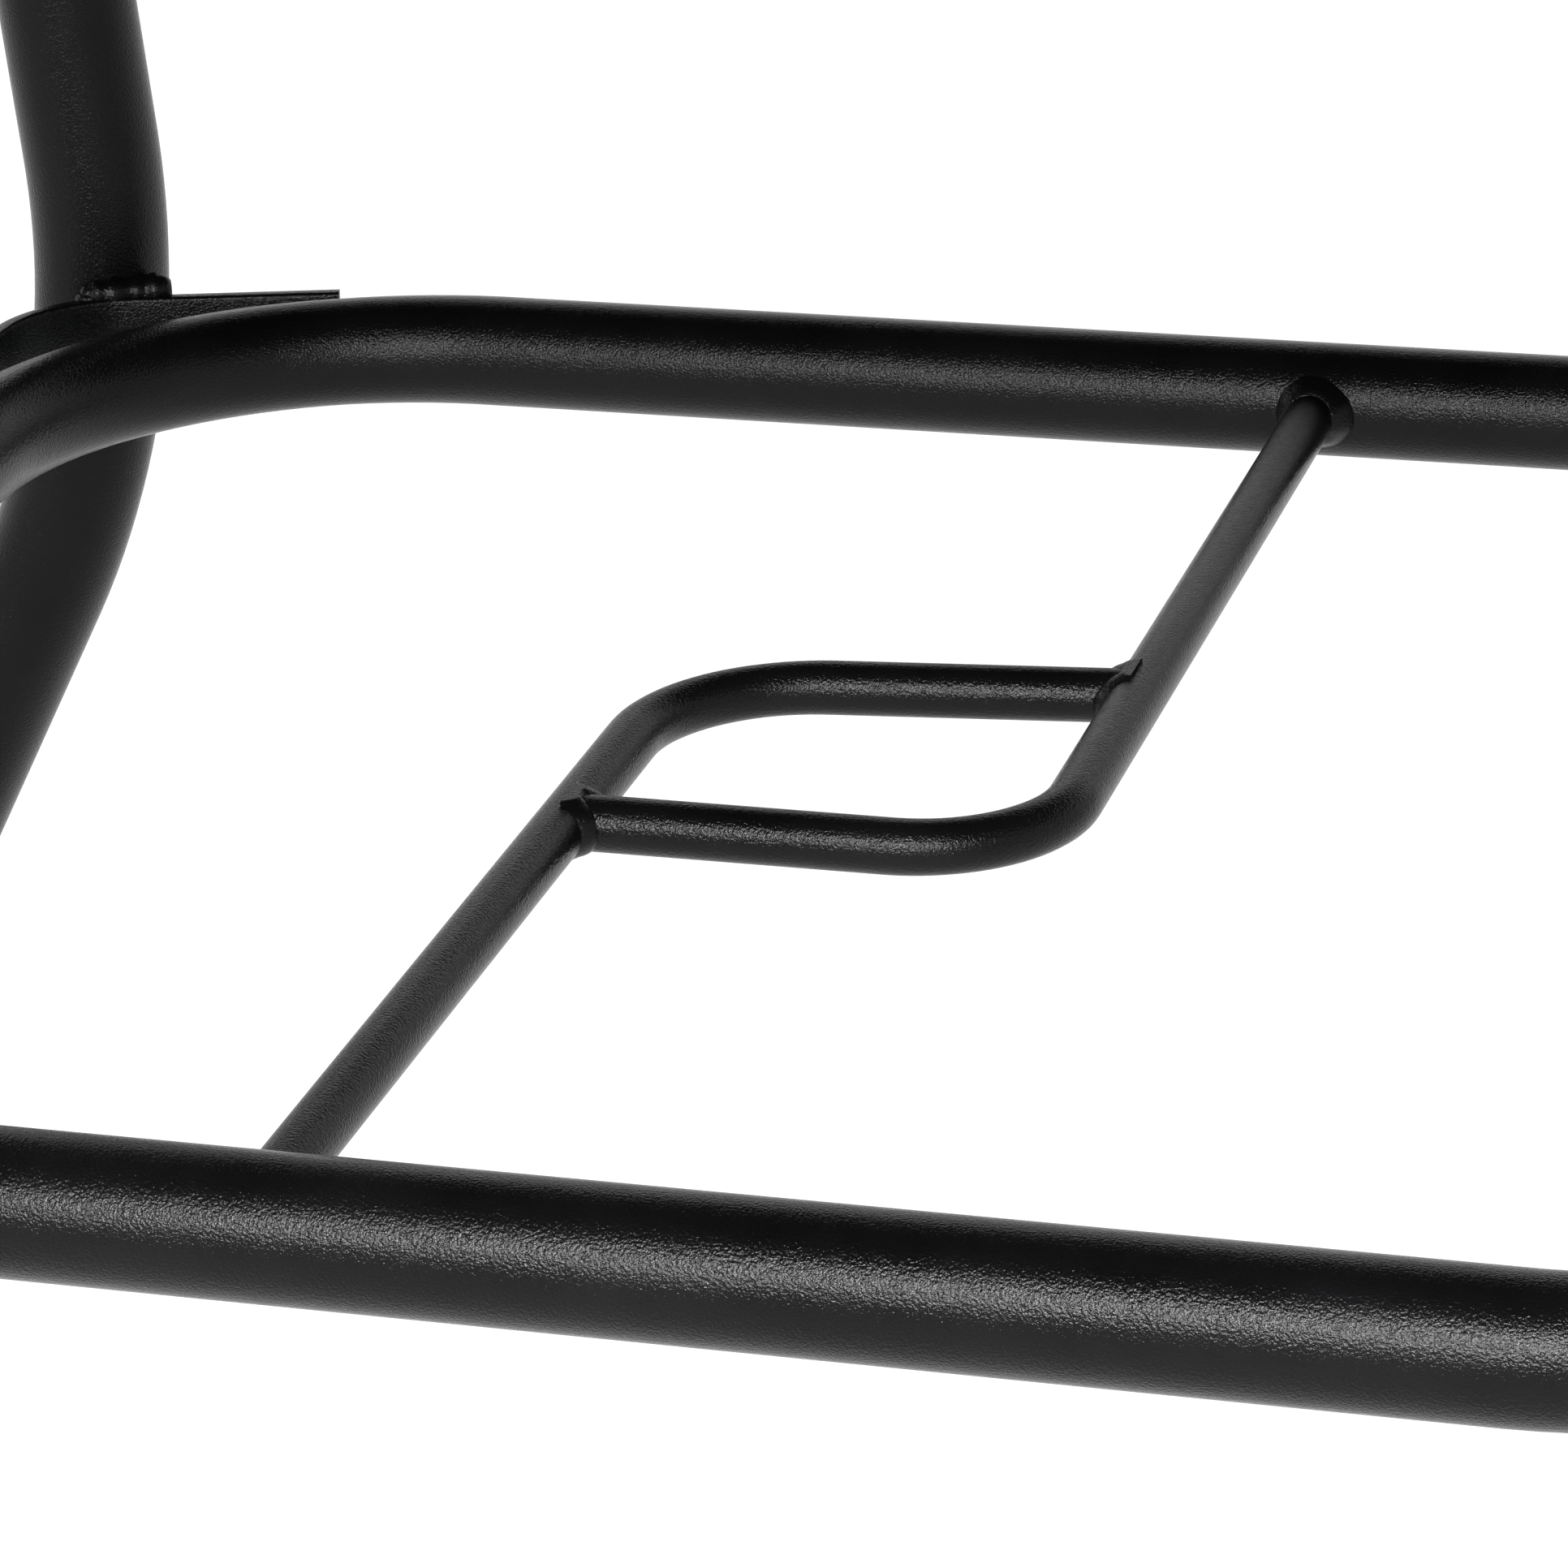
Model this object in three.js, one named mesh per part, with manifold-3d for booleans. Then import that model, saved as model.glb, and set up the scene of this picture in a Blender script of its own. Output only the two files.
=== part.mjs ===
// A folding luggage rack: two end frames, a two-leaf webbing top that folds upward in the
// middle, and a rod shelf that is hinged to the right end frame and lifts out of the left one.
// Millimetres. +X to the right, -Y to the front, +Z up. The origin is on the floor, mid-way.

import * as THREE from 'three';
import { mergeVertices } from 'three/addons/utils/BufferGeometryUtils.js';
import Module from 'manifold-3d';

const wasm = await Module();
wasm.setup();

// Stock and clearances.
const LEG_R = 12.7;
const RAIL_R = 10;
const ROD_R = 4.3;
const FLAT_HEIGHT = 16;
const FLAT_THICK = 3;
const GAP = 0.3;
const TUBE_SIDES = 16;
const ROD_SIDES = 12;

// Shelf: a rounded rectangle of rail with two bent rods across its middle.
const SHELF_Z = 150;
const SHELF_HALF_X = 197;
const SHELF_HALF_Y = 180;
const SHELF_CORNER_R = 74;
const EYE_X = -6;
const ROD_SPREAD = 36.3;
const FRONT_ROD_X = EYE_X - ROD_SPREAD;
const BACK_ROD_X = EYE_X + ROD_SPREAD;
const FRONT_ROD_END_Y = 29.4;
const FRONT_ROD_BEND_R = 28;
const FRONT_ROD_TILT = THREE.MathUtils.degToRad(6.6);
const BACK_ROD_END_Y = -38;
const BACK_ROD_BEND_R = 23;

// End frames: an inverted U whose legs bow inward beside the shelf.
const TOP_Z = SHELF_Z + 404;
const LEG_Y = 186.7;
const BOW_X = SHELF_HALF_X + 5.4;
const BOW_Z = SHELF_Z + 18;
const BOW_R = 160;
const LEAN_ABOVE = THREE.MathUtils.degToRad(5.7);
const LEAN_BELOW = THREE.MathUtils.degToRad(27);
const TOP_BEND_R = 50;
const LEG_END_Z = 10;
const FOOT_R = 16;
const FOOT_BELOW = 25;
const FOOT_ABOVE = 21;

// Cradle strap: a flat bar on edge round each end of the shelf.
const CRADLE_CLEAR = 1;
const CRADLE_BEND_R = 22;
const ARM_ANGLE = THREE.MathUtils.degToRad(16);
const ARM_TIP_X = SHELF_HALF_X - 42;
const ARM_TIP_CLEAR = 0.6;

// Top leaves: a U of rail each, pivoted outside and hinged to each other in the middle.
const LEAF_RAIL_Y = 134;
const LEAF_CORNER_R = 40;
const LEAF_BUTT_X = 10.4;
const PIVOT_X = 213;
const LEAF_END_X = PIVOT_X + 6;
const PIN_R = 3;
const PIN_HOLE_R = 3.3;
const MID_PIVOT_DROP = 15;
const WEB_WIDTH = 50;
const WEB_THICK = 2.5;
const WEB_CENTRES = [86, 161];
const WEB_TAIL_START = 45;
const WEB_TAIL_END = 74;

const Z_AXIS = new THREE.Vector3(0, 0, 1);

const BLACK_COAT = { color: 0x141416, roughness: 0.5, metalness: 0.1 };
const ZINC = { color: 0x8d9093, roughness: 0.38, metalness: 0.9 };
const RUBBER = { color: 0x101010, roughness: 0.85, metalness: 0 };
const WEBBING = { color: 0x17171a, roughness: 0.95, metalness: 0 };

function vec(x, y, z = 0) {
  return new THREE.Vector3(x, y, z);
}

function piece(name, geometry, finish) {
  const mesh = new THREE.Mesh(geometry, new THREE.MeshStandardMaterial(finish));
  mesh.name = name;
  return mesh;
}

// Booleans.

function toSolid(geometry) {
  const plain = geometry.clone();
  plain.deleteAttribute('normal');
  plain.deleteAttribute('uv');
  const merged = mergeVertices(plain, 1e-4);
  const corners = merged.index.array;
  const kept = [];
  for (let i = 0; i < corners.length; i += 3) {
    const [a, b, c] = [corners[i], corners[i + 1], corners[i + 2]];
    if (a !== b && b !== c && c !== a) {
      kept.push(a, b, c);
    }
  }
  return new wasm.Manifold(new wasm.Mesh({
    numProp: 3,
    vertProperties: new Float32Array(merged.attributes.position.array),
    triVerts: new Uint32Array(kept),
  }));
}

function toGeometry(solid) {
  const mesh = solid.getMesh();
  const geometry = new THREE.BufferGeometry();
  geometry.setAttribute('position', new THREE.BufferAttribute(mesh.vertProperties, 3));
  geometry.setIndex(new THREE.BufferAttribute(mesh.triVerts, 1));
  return geometry;
}

function cut(geometry, cutters) {
  let solid = toSolid(geometry);
  for (const cutter of cutters) {
    solid = solid.subtract(toSolid(cutter));
  }
  return toGeometry(solid);
}

// Paths: stations with a point and a direction, close together only where the path bends.

class StationPath extends THREE.Curve {
  constructor(stations) {
    super();
    this.stations = stations;
  }

  station(u) {
    return this.stations[Math.round(u * (this.stations.length - 1))];
  }

  getPointAt(u, target = new THREE.Vector3()) {
    return target.copy(this.station(u).point);
  }

  getTangentAt(u, target = new THREE.Vector3()) {
    return target.copy(this.station(u).direction);
  }
}

function bendStations(before, corner, after, radius, steps) {
  const arriving = corner.clone().sub(before).normalize();
  const leaving = after.clone().sub(corner).normalize();
  const angle = arriving.angleTo(leaving);
  const axis = arriving.clone().cross(leaving).normalize();
  const start = corner.clone().addScaledVector(arriving, -radius * Math.tan(angle / 2));
  const inward = axis.clone().cross(arriving);
  const centre = start.clone().addScaledVector(inward, radius);
  const stations = [];
  for (let i = 0; i <= steps; i++) {
    const turn = angle * i / steps;
    const arm = start.clone().sub(centre).applyAxisAngle(axis, turn);
    stations.push({
      point: centre.clone().add(arm),
      direction: arriving.clone().applyAxisAngle(axis, turn),
    });
  }
  return stations;
}

// Corners are { at, radius, steps }. The first and last have no radius and end the path.
function roundedPath(corners) {
  const stations = [];
  const first = corners[0].at;
  const last = corners[corners.length - 1].at;
  stations.push({ point: first, direction: corners[1].at.clone().sub(first).normalize() });
  for (let i = 1; i < corners.length - 1; i++) {
    const { at, radius, steps } = corners[i];
    stations.push(...bendStations(corners[i - 1].at, at, corners[i + 1].at, radius, steps));
  }
  const end = stations[stations.length - 1].direction;
  stations.push({ point: last, direction: end });
  return stations;
}

function circle(radius, sides) {
  const points = [];
  for (let i = 0; i < sides; i++) {
    const angle = 2 * Math.PI * i / sides;
    points.push(new THREE.Vector2(radius * Math.cos(angle), radius * Math.sin(angle)));
  }
  return new THREE.Shape(points);
}

function bar(stations, radius, sides) {
  return new THREE.ExtrudeGeometry(circle(radius, sides), {
    steps: stations.length - 1,
    extrudePath: new StationPath(stations),
    bevelEnabled: false,
  });
}

// A ring of rail: a rounded rectangle in the plane z, joined to itself.
function closedRectangle(halfX, halfY, z, cornerR, steps, radius) {
  const corners = [
    vec(halfX, -halfY, z),
    vec(halfX, halfY, z),
    vec(-halfX, halfY, z),
    vec(-halfX, -halfY, z),
  ];
  const stations = [];
  for (let i = 0; i < 4; i++) {
    stations.push(...bendStations(corners[(i + 3) % 4], corners[i], corners[(i + 1) % 4], cornerR, steps));
  }
  stations.push(stations[0]);
  const ring = new THREE.TubeGeometry(
    new StationPath(stations), stations.length - 1, radius, TUBE_SIDES, true);
  return toGeometry(toSolid(ring));
}

// Flat outlines.

function arcPoints(x, y, radius, from, to, steps) {
  const points = [];
  for (let i = 0; i <= steps; i++) {
    const angle = from + (to - from) * i / steps;
    points.push(new THREE.Vector2(x + radius * Math.cos(angle), y + radius * Math.sin(angle)));
  }
  return points;
}

// The outline runs anticlockwise, so that the extrusion turns the holes the other way.
function outlineWithHoles(points, holes = []) {
  const anticlockwise = THREE.ShapeUtils.isClockWise(points) ? [...points].reverse() : points;
  const shape = new THREE.Shape(anticlockwise);
  for (const hole of holes) {
    shape.holes.push(new THREE.Path(hole));
  }
  return shape;
}

// An outline drawn in X and Z, as thick as from y0 to y1.
function plateAcrossY(shape, y0, y1) {
  const geometry = new THREE.ExtrudeGeometry(shape, { depth: y1 - y0, bevelEnabled: false });
  geometry.rotateX(Math.PI / 2);
  geometry.translate(0, y1, 0);
  return geometry;
}

// An outline drawn in Y and Z, as wide as from x0 to x1.
function plateAcrossX(shape, x0, x1) {
  const geometry = new THREE.ExtrudeGeometry(shape, { depth: x1 - x0, bevelEnabled: false });
  geometry.applyMatrix4(new THREE.Matrix4().makeBasis(vec(0, 1), vec(0, 0, 1), vec(1, 0)));
  geometry.translate(x0, 0, 0);
  return geometry;
}

// A round bar along Y, used as a cutter.
function drillAlongY(x, y0, y1, z, radius, sides = 20) {
  const geometry = new THREE.CylinderGeometry(radius, radius, y1 - y0, sides);
  geometry.translate(x, (y0 + y1) / 2, z);
  return geometry;
}

function drillAlongX(x0, x1, y, z, radius, sides = 20) {
  const geometry = new THREE.CylinderGeometry(radius, radius, x1 - x0, sides);
  geometry.rotateZ(Math.PI / 2);
  geometry.translate((x0 + x1) / 2, y, z);
  return geometry;
}

// A solid turned about Y from a profile of [radius, height] pairs.
function turned(profile, sides) {
  const points = profile.map(([radius, height]) => new THREE.Vector2(radius, height));
  return new THREE.LatheGeometry(points, sides);
}

// Shelf.

function shelfFrame() {
  return closedRectangle(SHELF_HALF_X, SHELF_HALF_Y, SHELF_Z, SHELF_CORNER_R, 10, RAIL_R);
}

function frontRod() {
  const rise = 2 * ROD_SPREAD * Math.tan(FRONT_ROD_TILT);
  const stations = roundedPath([
    { at: vec(FRONT_ROD_X, -SHELF_HALF_Y, SHELF_Z) },
    { at: vec(FRONT_ROD_X, FRONT_ROD_END_Y - rise, SHELF_Z), radius: FRONT_ROD_BEND_R, steps: 8 },
    { at: vec(BACK_ROD_X, FRONT_ROD_END_Y, SHELF_Z) },
  ]);
  return cut(bar(stations, ROD_R, ROD_SIDES), [
    drillAlongX(FRONT_ROD_X - 20, FRONT_ROD_X + 20, -SHELF_HALF_Y, SHELF_Z, RAIL_R + GAP),
    drillAlongY(BACK_ROD_X, 0, 60, SHELF_Z, ROD_R + GAP),
  ]);
}

function backRod() {
  const stations = roundedPath([
    { at: vec(BACK_ROD_X, SHELF_HALF_Y, SHELF_Z) },
    { at: vec(BACK_ROD_X, BACK_ROD_END_Y, SHELF_Z), radius: BACK_ROD_BEND_R, steps: 8 },
    { at: vec(FRONT_ROD_X, BACK_ROD_END_Y, SHELF_Z) },
  ]);
  return cut(bar(stations, ROD_R, ROD_SIDES), [
    drillAlongX(BACK_ROD_X - 20, BACK_ROD_X + 20, SHELF_HALF_Y, SHELF_Z, RAIL_R + GAP),
    drillAlongY(FRONT_ROD_X, -60, 0, SHELF_Z, ROD_R + GAP),
  ]);
}

function shelf() {
  const group = new THREE.Group();
  group.add(piece('shelf_frame', shelfFrame(), BLACK_COAT));
  group.add(piece('shelf_rod_front', frontRod(), BLACK_COAT));
  group.add(piece('shelf_rod_back', backRod(), BLACK_COAT));
  return group;
}

// End frames. All of these are drawn on the right; the left end is turned half round.

const bowCentreX = BOW_X + BOW_R;
const legUp = vec(Math.sin(LEAN_ABOVE), 0, Math.cos(LEAN_ABOVE));
const legDown = vec(Math.sin(LEAN_BELOW), 0, -Math.cos(LEAN_BELOW));
const bowTangent = BOW_R * Math.tan((LEAN_ABOVE + LEAN_BELOW) / 2);
const bowCorner = vec(
  bowCentreX - BOW_R * Math.cos(LEAN_ABOVE),
  0,
  BOW_Z + BOW_R * Math.sin(LEAN_ABOVE),
).addScaledVector(legUp, -bowTangent);
const topRailX = bowCorner.x + (TOP_Z - bowCorner.z) * Math.tan(LEAN_ABOVE);
const legEndX = bowCorner.x + (bowCorner.z - LEG_END_Z) * Math.tan(LEAN_BELOW);

function endTube() {
  const stations = roundedPath([
    { at: vec(legEndX, -LEG_Y, LEG_END_Z) },
    { at: vec(bowCorner.x, -LEG_Y, bowCorner.z), radius: BOW_R, steps: 7 },
    { at: vec(topRailX, -LEG_Y, TOP_Z), radius: TOP_BEND_R, steps: 8 },
    { at: vec(topRailX, LEG_Y, TOP_Z), radius: TOP_BEND_R, steps: 8 },
    { at: vec(bowCorner.x, LEG_Y, bowCorner.z), radius: BOW_R, steps: 7 },
    { at: vec(legEndX, LEG_Y, LEG_END_Z) },
  ]);
  return bar(stations, LEG_R, TUBE_SIDES);
}

const cradleInnerX = SHELF_HALF_X + RAIL_R + CRADLE_CLEAR;

function cradleStrap() {
  const cornerX = SHELF_HALF_X - SHELF_CORNER_R;
  const cornerY = SHELF_HALF_Y - SHELF_CORNER_R;
  const reach = SHELF_CORNER_R + RAIL_R + ARM_TIP_CLEAR;
  const tipY = cornerY + Math.sqrt(reach ** 2 - (ARM_TIP_X - cornerX) ** 2);
  const bendY = tipY - (cradleInnerX - ARM_TIP_X) * Math.tan(ARM_ANGLE);
  const inner = roundedPath([
    { at: vec(ARM_TIP_X, -tipY) },
    { at: vec(cradleInnerX, -bendY), radius: CRADLE_BEND_R, steps: 8 },
    { at: vec(cradleInnerX, bendY), radius: CRADLE_BEND_R, steps: 8 },
    { at: vec(ARM_TIP_X, tipY) },
  ]);
  const outer = inner.map(({ point, direction }) => {
    const outward = direction.clone().cross(Z_AXIS);
    return point.clone().addScaledVector(outward, FLAT_THICK);
  });
  const outline = [...outer, ...inner.map(({ point }) => point).reverse()];
  const shape = outlineWithHoles(outline.map(({ x, y }) => new THREE.Vector2(x, y)));
  const geometry = new THREE.ExtrudeGeometry(shape, { depth: FLAT_HEIGHT, bevelEnabled: false });
  geometry.translate(0, 0, SHELF_Z - FLAT_HEIGHT / 2);
  return geometry;
}

function foot(side) {
  const socketR = LEG_R + GAP;
  const blank = turned([
    [0, -FOOT_BELOW], [FOOT_R, -FOOT_BELOW], [FOOT_R, 13], [FOOT_R - 1.2, 19], [FOOT_R - 2, FOOT_ABOVE],
    [socketR, FOOT_ABOVE], [socketR, -GAP], [0, -GAP],
  ], 24);
  const up = legDown.clone().negate();
  blank.applyQuaternion(new THREE.Quaternion().setFromUnitVectors(vec(0, 1), up));
  blank.translate(legEndX, side * LEG_Y, LEG_END_Z);
  const floor = new THREE.BoxGeometry(100, 100, 100);
  floor.translate(legEndX, side * LEG_Y, -50);
  return cut(blank, [floor]);
}

const LUG_INNER_Y = 118.4;
const LUG_OUTER_Y = 123.4;
const LUG_R = 9;

function lug(side) {
  const points = arcPoints(PIVOT_X, TOP_Z, LUG_R, Math.PI / 2, 1.5 * Math.PI, 10);
  points.push(new THREE.Vector2(PIVOT_X + 20, TOP_Z - LUG_R));
  points.push(new THREE.Vector2(PIVOT_X + 20, TOP_Z + LUG_R));
  const ys = [side * LUG_INNER_Y, side * LUG_OUTER_Y].sort((a, b) => a - b);
  const plate = plateAcrossY(outlineWithHoles(points), ...ys);
  return cut(plate, [
    drillAlongY(PIVOT_X, ys[0] - 5, ys[1] + 5, TOP_Z, PIN_HOLE_R),
    drillAlongY(topRailX, ys[0] - 5, ys[1] + 5, TOP_Z, LEG_R + GAP, 32),
  ]);
}

const RIVET_HEAD_R = 5.5;
const RIVET_HEAD_THICK = 2;

function rivet(x, z, y0, y1, radius, headR, headThick) {
  const geometry = turned([
    [0, y0 - headThick], [headR * 0.7, y0 - headThick], [headR, y0 - headThick / 2], [headR, y0],
    [radius, y0], [radius, y1],
    [headR, y1], [headR, y1 + headThick / 2], [headR * 0.7, y1 + headThick], [0, y1 + headThick],
  ], 16);
  geometry.translate(x, 0, z);
  return geometry;
}

function pivotPin(side) {
  const inner = LUG_INNER_Y - GAP;
  const outer = LEAF_RAIL_Y + RAIL_R + GAP;
  const [y0, y1] = side > 0 ? [inner, outer] : [-outer, -inner];
  return rivet(PIVOT_X, TOP_Z, y0, y1, PIN_R, RIVET_HEAD_R, RIVET_HEAD_THICK);
}

const BAND_WIDTH = 18;
const BAND_THICK = 2.5;
const BAND_Y = 70;
const BAND_CLEAR = 0.4;

// A loop round the shelf's end rail and the cradle strap; the rail turns in it.
function hingeBand(y) {
  const loop = (grow) => {
    const radius = RAIL_R + BAND_CLEAR + grow;
    const half = FLAT_HEIGHT / 2 + BAND_CLEAR + grow;
    const back = cradleInnerX + FLAT_THICK + BAND_CLEAR + grow;
    const lean = THREE.MathUtils.degToRad(80);
    const points = arcPoints(SHELF_HALF_X, SHELF_Z, radius, lean, 2 * Math.PI - lean, 16);
    points.push(new THREE.Vector2(cradleInnerX, SHELF_Z - half));
    points.push(new THREE.Vector2(back, SHELF_Z - half));
    points.push(new THREE.Vector2(back, SHELF_Z + half));
    points.push(new THREE.Vector2(cradleInnerX, SHELF_Z + half));
    return points;
  };
  const shape = outlineWithHoles(loop(BAND_THICK), [loop(0)]);
  return plateAcrossY(shape, y - BAND_WIDTH / 2, y + BAND_WIDTH / 2);
}

const TAB_WIDTH = 20;
const TAB_Y = 60;
const TAB_REACH = 21;
const TAB_HEIGHT = 20.3;

// An angle under the shelf's free end rail, fixed to the outer face of the cradle strap.
function restTab(y) {
  const top = SHELF_Z - RAIL_R - GAP;
  const bottom = top - FLAT_THICK;
  const plateX = cradleInnerX + FLAT_THICK + GAP;
  const outerX = plateX + FLAT_THICK;
  const points = [
    [plateX - TAB_REACH, bottom], [outerX, bottom], [outerX, bottom + TAB_HEIGHT],
    [plateX, bottom + TAB_HEIGHT], [plateX, top], [plateX - TAB_REACH, top],
  ].map(([x, z]) => new THREE.Vector2(x, z));
  return plateAcrossY(outlineWithHoles(points), y - TAB_WIDTH / 2, y + TAB_WIDTH / 2);
}

// Names say where a piece is on the finished rack, so front and back swap on the turned end.
function sideName(end, side) {
  const isBack = end === 'right' ? side > 0 : side < 0;
  return isBack ? 'back' : 'front';
}

function endFrame(end) {
  const group = new THREE.Group();
  group.add(piece(`${end}_end_tube`, endTube(), BLACK_COAT));
  group.add(piece(`${end}_cradle_strap`, cradleStrap(), BLACK_COAT));
  for (const side of [-1, 1]) {
    const place = `${end}_${sideName(end, side)}`;
    group.add(piece(`${place}_foot`, foot(side), RUBBER));
    group.add(piece(`${place}_lug`, lug(side), BLACK_COAT));
    group.add(piece(`${place}_pivot_pin`, pivotPin(side), ZINC));
    if (end === 'right') {
      group.add(piece(`shelf_hinge_band_${sideName(end, side)}`, hingeBand(side * BAND_Y), BLACK_COAT));
    } else {
      group.add(piece(`shelf_rest_tab_${sideName(end, side)}`, restTab(side * TAB_Y), BLACK_COAT));
    }
  }
  return group;
}

// Top leaves.

const PLUG_R = 8.5;
const PLUG_RECESS_R = PLUG_R + GAP;
const PLUG_DEPTH = 2.5;

function leafTube() {
  const stations = roundedPath([
    { at: vec(LEAF_END_X, -LEAF_RAIL_Y, TOP_Z) },
    { at: vec(LEAF_BUTT_X, -LEAF_RAIL_Y, TOP_Z), radius: LEAF_CORNER_R, steps: 8 },
    { at: vec(LEAF_BUTT_X, LEAF_RAIL_Y, TOP_Z), radius: LEAF_CORNER_R, steps: 8 },
    { at: vec(LEAF_END_X, LEAF_RAIL_Y, TOP_Z) },
  ]);
  const cutters = [drillAlongY(PIVOT_X, -LEAF_RAIL_Y - 20, LEAF_RAIL_Y + 20, TOP_Z, PIN_HOLE_R)];
  for (const side of [-1, 1]) {
    cutters.push(drillAlongX(
      LEAF_END_X - PLUG_DEPTH, LEAF_END_X + 5, side * LEAF_RAIL_Y, TOP_Z, PLUG_RECESS_R));
  }
  return cut(bar(stations, RAIL_R, TUBE_SIDES), cutters);
}

function endPlug(side) {
  const geometry = turned([
    [0, GAP - PLUG_DEPTH], [PLUG_R, GAP - PLUG_DEPTH], [PLUG_R, GAP], [RAIL_R - 0.2, GAP],
    [RAIL_R - 0.2, 1.2], [RAIL_R - 1.4, 1.8], [0, 1.8],
  ], 20);
  geometry.rotateZ(-Math.PI / 2);
  geometry.translate(LEAF_END_X, side * LEAF_RAIL_Y, TOP_Z);
  return geometry;
}

const midPivotZ = TOP_Z - MID_PIVOT_DROP;
const BARREL_R = 5.5;
const BARREL_BORE_R = 2.8;
const MID_PIN_R = 2.5;
const KNUCKLE_PLATE_END = 24;
const KNUCKLE_PLATE_THICK = 3;
const KNUCKLE_LENGTH = 13.7;
const HINGE_Y = 60;

// Half of a butt hinge: a barrel and a plate under the leaf's crossbar.
function knuckle(y0, y1) {
  const top = MID_PIVOT_DROP - RAIL_R - GAP;
  const bottom = top - KNUCKLE_PLATE_THICK;
  const from = Math.asin(top / BARREL_R);
  const to = 2 * Math.PI + Math.asin(bottom / BARREL_R);
  const points = arcPoints(0, midPivotZ, BARREL_R, from, to, 16);
  points.push(new THREE.Vector2(KNUCKLE_PLATE_END, midPivotZ + bottom));
  points.push(new THREE.Vector2(KNUCKLE_PLATE_END, midPivotZ + top));
  const bore = arcPoints(0, midPivotZ, BARREL_BORE_R, 0, 2 * Math.PI * 15 / 16, 15);
  return plateAcrossY(outlineWithHoles(points, [bore]), y0, y1);
}

// Webbing: a band over both rails, looped round each and sewn back to itself underneath.
function webbing(centreX) {
  const innerR = RAIL_R + GAP;
  const outerR = innerR + WEB_THICK;
  const under = TOP_Z + innerR;
  const tailUnder = under - WEB_THICK;
  const meet = LEAF_RAIL_Y - WEB_TAIL_START;
  const tailEnd = LEAF_RAIL_Y - WEB_TAIL_END;
  const toRail = Math.atan2(TOP_Z - tailUnder, WEB_TAIL_START);
  const reach = Math.hypot(WEB_TAIL_START, TOP_Z - tailUnder);
  const slope = toRail - Math.asin(outerR / reach);
  const leave = slope - Math.PI / 2;
  const outerArc = arcPoints(LEAF_RAIL_Y, TOP_Z, outerR, Math.PI / 2, leave, 12);
  const innerArc = arcPoints(LEAF_RAIL_Y, TOP_Z, innerR, Math.PI / 2, leave, 12);
  const innerFoot = innerArc[innerArc.length - 1];
  const apexY = innerFoot.x - (under - innerFoot.y) / Math.tan(-slope);
  const right = [
    ...outerArc,
    new THREE.Vector2(meet, tailUnder),
    new THREE.Vector2(tailEnd, tailUnder),
    new THREE.Vector2(tailEnd, under),
  ];
  const flip = (points) => points.map(({ x, y }) => new THREE.Vector2(-x, y)).reverse();
  const hole = [...innerArc, new THREE.Vector2(apexY, under - GAP)];
  const shape = outlineWithHoles([...right, ...flip(right)], [hole, flip(hole)]);
  return plateAcrossX(shape, centreX - WEB_WIDTH / 2, centreX + WEB_WIDTH / 2);
}

function leaf(end) {
  const group = new THREE.Group();
  group.add(piece(`${end}_leaf_tube`, leafTube(), BLACK_COAT));
  for (const side of [-1, 1]) {
    group.add(piece(`${end}_${sideName(end, side)}_end_plug`, endPlug(side), RUBBER));
  }
  const inset = HINGE_Y - GAP - KNUCKLE_LENGTH;
  const outset = -HINGE_Y - GAP - KNUCKLE_LENGTH;
  group.add(piece(`${end}_${sideName(end, 1)}_knuckle`, knuckle(inset, inset + KNUCKLE_LENGTH), ZINC));
  group.add(piece(`${end}_${sideName(end, -1)}_knuckle`, knuckle(outset, outset + KNUCKLE_LENGTH), ZINC));
  const [inner, outer] = WEB_CENTRES;
  group.add(piece(`${end}_inner_webbing`, webbing(inner), WEBBING));
  group.add(piece(`${end}_outer_webbing`, webbing(outer), WEBBING));
  return group;
}

function midPin(y) {
  const half = KNUCKLE_LENGTH + 2 * GAP;
  return rivet(0, midPivotZ, y - half, y + half, MID_PIN_R, 4.2, 1.5);
}

const rack = new THREE.Group();
rack.add(shelf());
rack.add(endFrame('right'));
rack.add(leaf('right'));
rack.add(piece('mid_pin_front', midPin(-HINGE_Y), ZINC));
rack.add(piece('mid_pin_back', midPin(HINGE_Y), ZINC));

const leftSide = new THREE.Group();
leftSide.rotation.z = Math.PI;
leftSide.add(endFrame('left'));
leftSide.add(leaf('left'));
rack.add(leftSide);

export default rack;
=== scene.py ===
"""A folding luggage rack in black powder-coated tube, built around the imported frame."""
import math
import random

import bmesh
import bpy
from mathutils import Matrix, Quaternion, Vector

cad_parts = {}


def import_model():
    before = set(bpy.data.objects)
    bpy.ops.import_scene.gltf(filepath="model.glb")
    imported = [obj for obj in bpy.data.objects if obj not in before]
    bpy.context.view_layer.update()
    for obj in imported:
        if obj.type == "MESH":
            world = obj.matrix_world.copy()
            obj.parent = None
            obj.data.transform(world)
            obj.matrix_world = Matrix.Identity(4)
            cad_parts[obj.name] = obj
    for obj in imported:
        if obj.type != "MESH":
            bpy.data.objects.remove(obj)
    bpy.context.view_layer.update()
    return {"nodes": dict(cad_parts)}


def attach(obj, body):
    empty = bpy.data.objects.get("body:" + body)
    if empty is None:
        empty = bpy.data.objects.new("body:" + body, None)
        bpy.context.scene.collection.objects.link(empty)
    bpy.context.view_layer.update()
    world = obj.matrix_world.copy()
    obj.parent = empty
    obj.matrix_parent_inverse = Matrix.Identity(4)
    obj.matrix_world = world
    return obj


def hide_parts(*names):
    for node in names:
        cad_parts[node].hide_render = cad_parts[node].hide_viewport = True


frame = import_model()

MM = 0.001

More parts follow.
